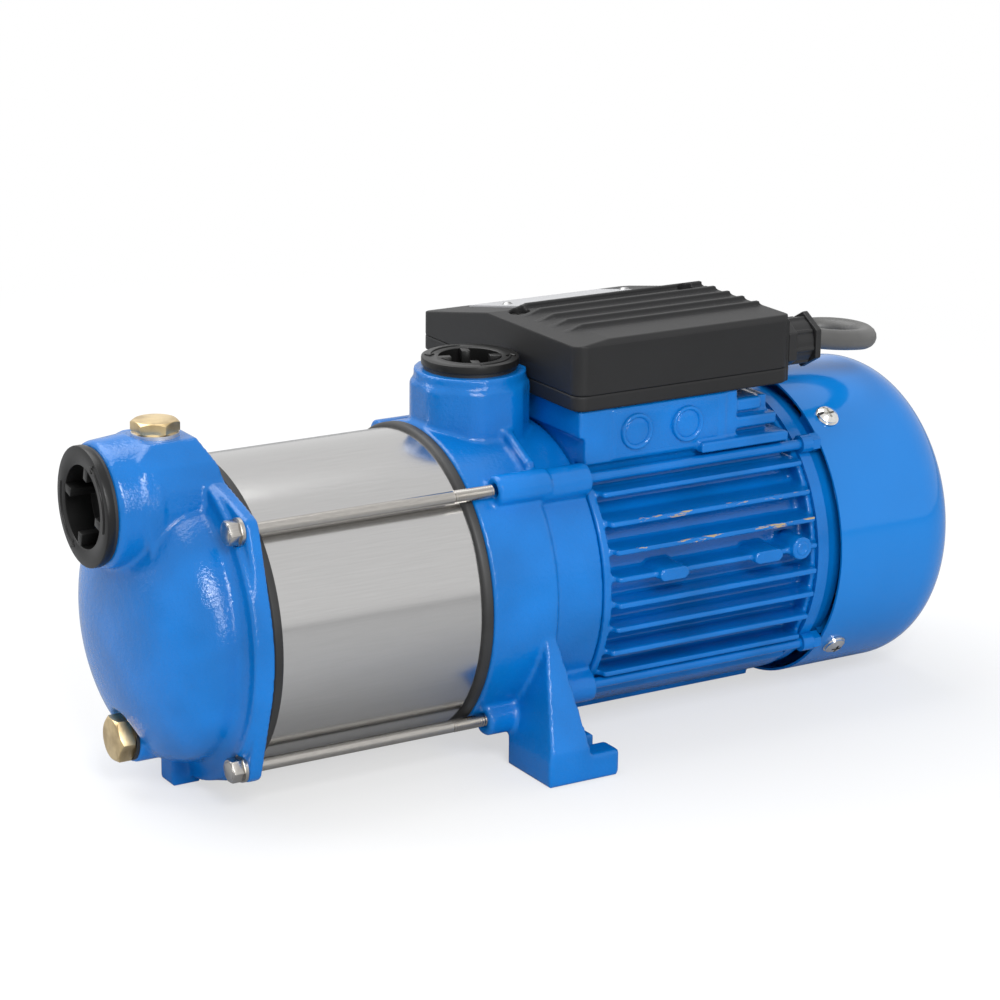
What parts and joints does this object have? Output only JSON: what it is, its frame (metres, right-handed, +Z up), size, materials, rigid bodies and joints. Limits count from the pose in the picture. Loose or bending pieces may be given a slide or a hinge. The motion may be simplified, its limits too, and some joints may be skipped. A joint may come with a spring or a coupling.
{
  "type": "multistage surface pump",
  "caption": "Horizontal multistage water pump, close coupled to a fan cooled electric motor, with screw-in port caps, lift-off terminal box lid and coiled power cord.",
  "frame": {"origin": "on the floor, midway between the centres of the two open foot slots, under the shaft", "axes": "+X along the shaft from the suction port to the fan cover, +Z up through the delivery port"},
  "size_m": [0.4315, 0.3378, 0.1953],
  "materials": {
    "suction_cover": "glossy enamel on rough sand casting",
    "suction_port_cap": "moulded black transport cap",
    "suction_cap_seal": "flat rubber ring",
    "filling_plug": "machined",
    "filling_plug_washer": "flat sealing washer",
    "drain_plug": "machined",
    "drain_plug_washer": "flat sealing washer",
    "front_gasket": "moulded casing gasket",
    "casing_sleeve": "satin stainless steel",
    "rear_gasket": "moulded casing gasket",
    "tie_rods": "bright zinc plated",
    "tie_rod_washers": "bright zinc plated",
    "stage_cups": "pressed stainless steel",
    "stage_diffusers": "moulded engineering plastic",
    "impellers": "moulded engineering plastic",
    "impeller_key": "ground key steel",
    "impeller_nut": "stainless steel",
    "pump_shaft": "ground stainless steel",
    "seal_spacer": "turned stainless steel",
    "seal_rotary_head": "pressed stainless steel",
    "seal_carbon_ring": "lapped carbon",
    "seal_seat": "lapped ceramic",
    "pump_body": "glossy enamel on rough sand casting",
    "delivery_port_cap": "moulded black transport cap",
    "delivery_cap_seal": "flat rubber ring",
    "front_bearing_outer": "ground bearing steel",
    "front_bearing_inner": "ground bearing steel",
    "front_bearing_balls": "polished bearing steel",
    "rear_bearing_outer": "ground bearing steel",
    "rear_bearing_inner": "ground bearing steel",
    "rear_bearing_balls": "polished bearing steel",
    "motor_housing": "glossy enamel on die casting",
    "stator_core": "stacked electrical steel",
    "stator_winding": "varnished copper winding",
    "rotor_core": "stacked electrical steel",
    "rotor_cage": "cast aluminium",
    "motor_end_shield": "enamel on casting",
    "motor_through_bolts": "painted over with the motor",
    "cooling_fan": "moulded plastic",
    "fan_clip": "spring steel",
    "fan_cover": "glossy enamel on pressed sheet steel",
    "fan_cover_screws": "bright plated",
    "support_pad": "moulded rubber block",
    "terminal_box_base": "fine textured black plastic",
    "terminal_box_lid": "fine textured black plastic",
    "lid_screws": "blackened steel",
    "label_plate": "bare satin plate",
    "label_rivets": "bright",
    "terminal_block": "moulded thermoset",
    "terminal_studs": "turned",
    "run_capacitor": "plastic can",
    "cable_gland": "moulded nylon",
    "gland_nut": "moulded nylon",
    "power_cord": "rubber sheath",
    "cord_coil": "rubber sheath",
    "cord_tail": "rubber sheath",
    "cord_plug": "moulded rubber",
    "plug_pins": "nickel plated"
  },
  "bodies": {
    "pump": {"suction_cover": "suction_cover", "front_gasket": "front_gasket", "casing_sleeve": "casing_sleeve", "rear_gasket": "rear_gasket", "tie_rods": "tie_rods", "tie_rod_washers": "tie_rod_washers", "stage_cups": "stage_cups", "stage_diffusers": "stage_diffusers", "seal_seat": "seal_seat", "pump_body": "pump_body", "front_bearing_outer": "front_bearing_outer", "front_bearing_balls": "front_bearing_balls", "rear_bearing_outer": "rear_bearing_outer", "rear_bearing_balls": "rear_bearing_balls", "motor_housing": "motor_housing", "stator_core": "stator_core", "stator_winding": "stator_winding", "motor_end_shield": "motor_end_shield", "motor_through_bolts": "motor_through_bolts", "fan_cover": "fan_cover", "fan_cover_screws": "fan_cover_screws", "support_pad": "support_pad", "terminal_box_base": "terminal_box_base", "terminal_block": "terminal_block", "terminal_studs": "terminal_studs", "run_capacitor": "run_capacitor", "cable_gland": "cable_gland", "gland_nut": "gland_nut", "power_cord": "power_cord", "cord_coil": "cord_coil", "cord_tail": "cord_tail", "cord_plug": "cord_plug", "plug_pins": "plug_pins"},
    "rotor": {"pump_shaft": "pump_shaft", "impellers": "impellers", "impeller_key": "impeller_key", "impeller_nut": "impeller_nut", "seal_spacer": "seal_spacer", "seal_rotary_head": "seal_rotary_head", "seal_carbon_ring": "seal_carbon_ring", "front_bearing_inner": "front_bearing_inner", "rear_bearing_inner": "rear_bearing_inner", "rotor_core": "rotor_core", "rotor_cage": "rotor_cage", "cooling_fan": "cooling_fan", "fan_clip": "fan_clip"},
    "suction_seal": {"suction_cap_seal": "suction_cap_seal"},
    "suction_cap": {"suction_port_cap": "suction_port_cap"},
    "delivery_seal": {"delivery_cap_seal": "delivery_cap_seal"},
    "delivery_cap": {"delivery_port_cap": "delivery_port_cap"},
    "fill_washer": {"filling_plug_washer": "filling_plug_washer"},
    "fill_plug": {"filling_plug": "filling_plug"},
    "drain_washer": {"drain_plug_washer": "drain_plug_washer"},
    "drain_plug_body": {"drain_plug": "drain_plug"},
    "terminal_lid": {"terminal_box_lid": "terminal_box_lid", "lid_screws": "lid_screws", "label_plate": "label_plate", "label_rivets": "label_rivets"}
  },
  "joints": [
    {"name": "rotor_spin", "type": "hinge", "parent": "pump", "child": "rotor", "pos_m": [0, 0, 0.077], "axis": [1, 0, 0], "continuous": true},
    {"name": "suction_cap_rise", "type": "slide", "parent": "pump", "child": "suction_seal", "axis": [-1, 0, 0], "range_m": [0, 0.0139]},
    {"name": "suction_cap_turn", "type": "hinge", "parent": "suction_seal", "child": "suction_cap", "pos_m": [-0.205, 0, 0.135], "axis": [-1, 0, 0], "range_deg": [0, 2160]},
    {"name": "delivery_cap_rise", "type": "slide", "parent": "pump", "child": "delivery_seal", "axis": [0, 0, 1], "range_m": [0, 0.0139]},
    {"name": "delivery_cap_turn", "type": "hinge", "parent": "delivery_seal", "child": "delivery_cap", "pos_m": [-0.0155, 0, 0.174], "axis": [0, 0, 1], "range_deg": [0, 2160]},
    {"name": "filling_plug_rise", "type": "slide", "parent": "pump", "child": "fill_washer", "axis": [0, 0, 1], "range_m": [0, 0.00941]},
    {"name": "filling_plug_turn", "type": "hinge", "parent": "fill_washer", "child": "fill_plug", "pos_m": [-0.175, 0, 0.163], "axis": [0, 0, 1], "range_deg": [0, 2520]},
    {"name": "drain_plug_rise", "type": "slide", "parent": "pump", "child": "drain_washer", "axis": [-1, 0, 0], "range_m": [0, 0.00941]},
    {"name": "drain_plug_turn", "type": "hinge", "parent": "drain_washer", "child": "drain_plug_body", "pos_m": [-0.1905, 0, 0.0255], "axis": [-1, 0, 0], "range_deg": [0, 2520]},
    {"name": "lid_lift", "type": "slide", "parent": "pump", "child": "terminal_lid", "axis": [0, 0, 1], "range_m": [0, 0.04]}
  ],
  "couplings": [
    {"joint": "suction_cap_rise", "follows": "suction_cap_turn", "m_per_rad": 0.00036749},
    {"joint": "delivery_cap_rise", "follows": "delivery_cap_turn", "m_per_rad": 0.00036749},
    {"joint": "filling_plug_rise", "follows": "filling_plug_turn", "m_per_rad": 0.00021279},
    {"joint": "drain_plug_rise", "follows": "drain_plug_turn", "m_per_rad": 0.00021279}
  ]
}
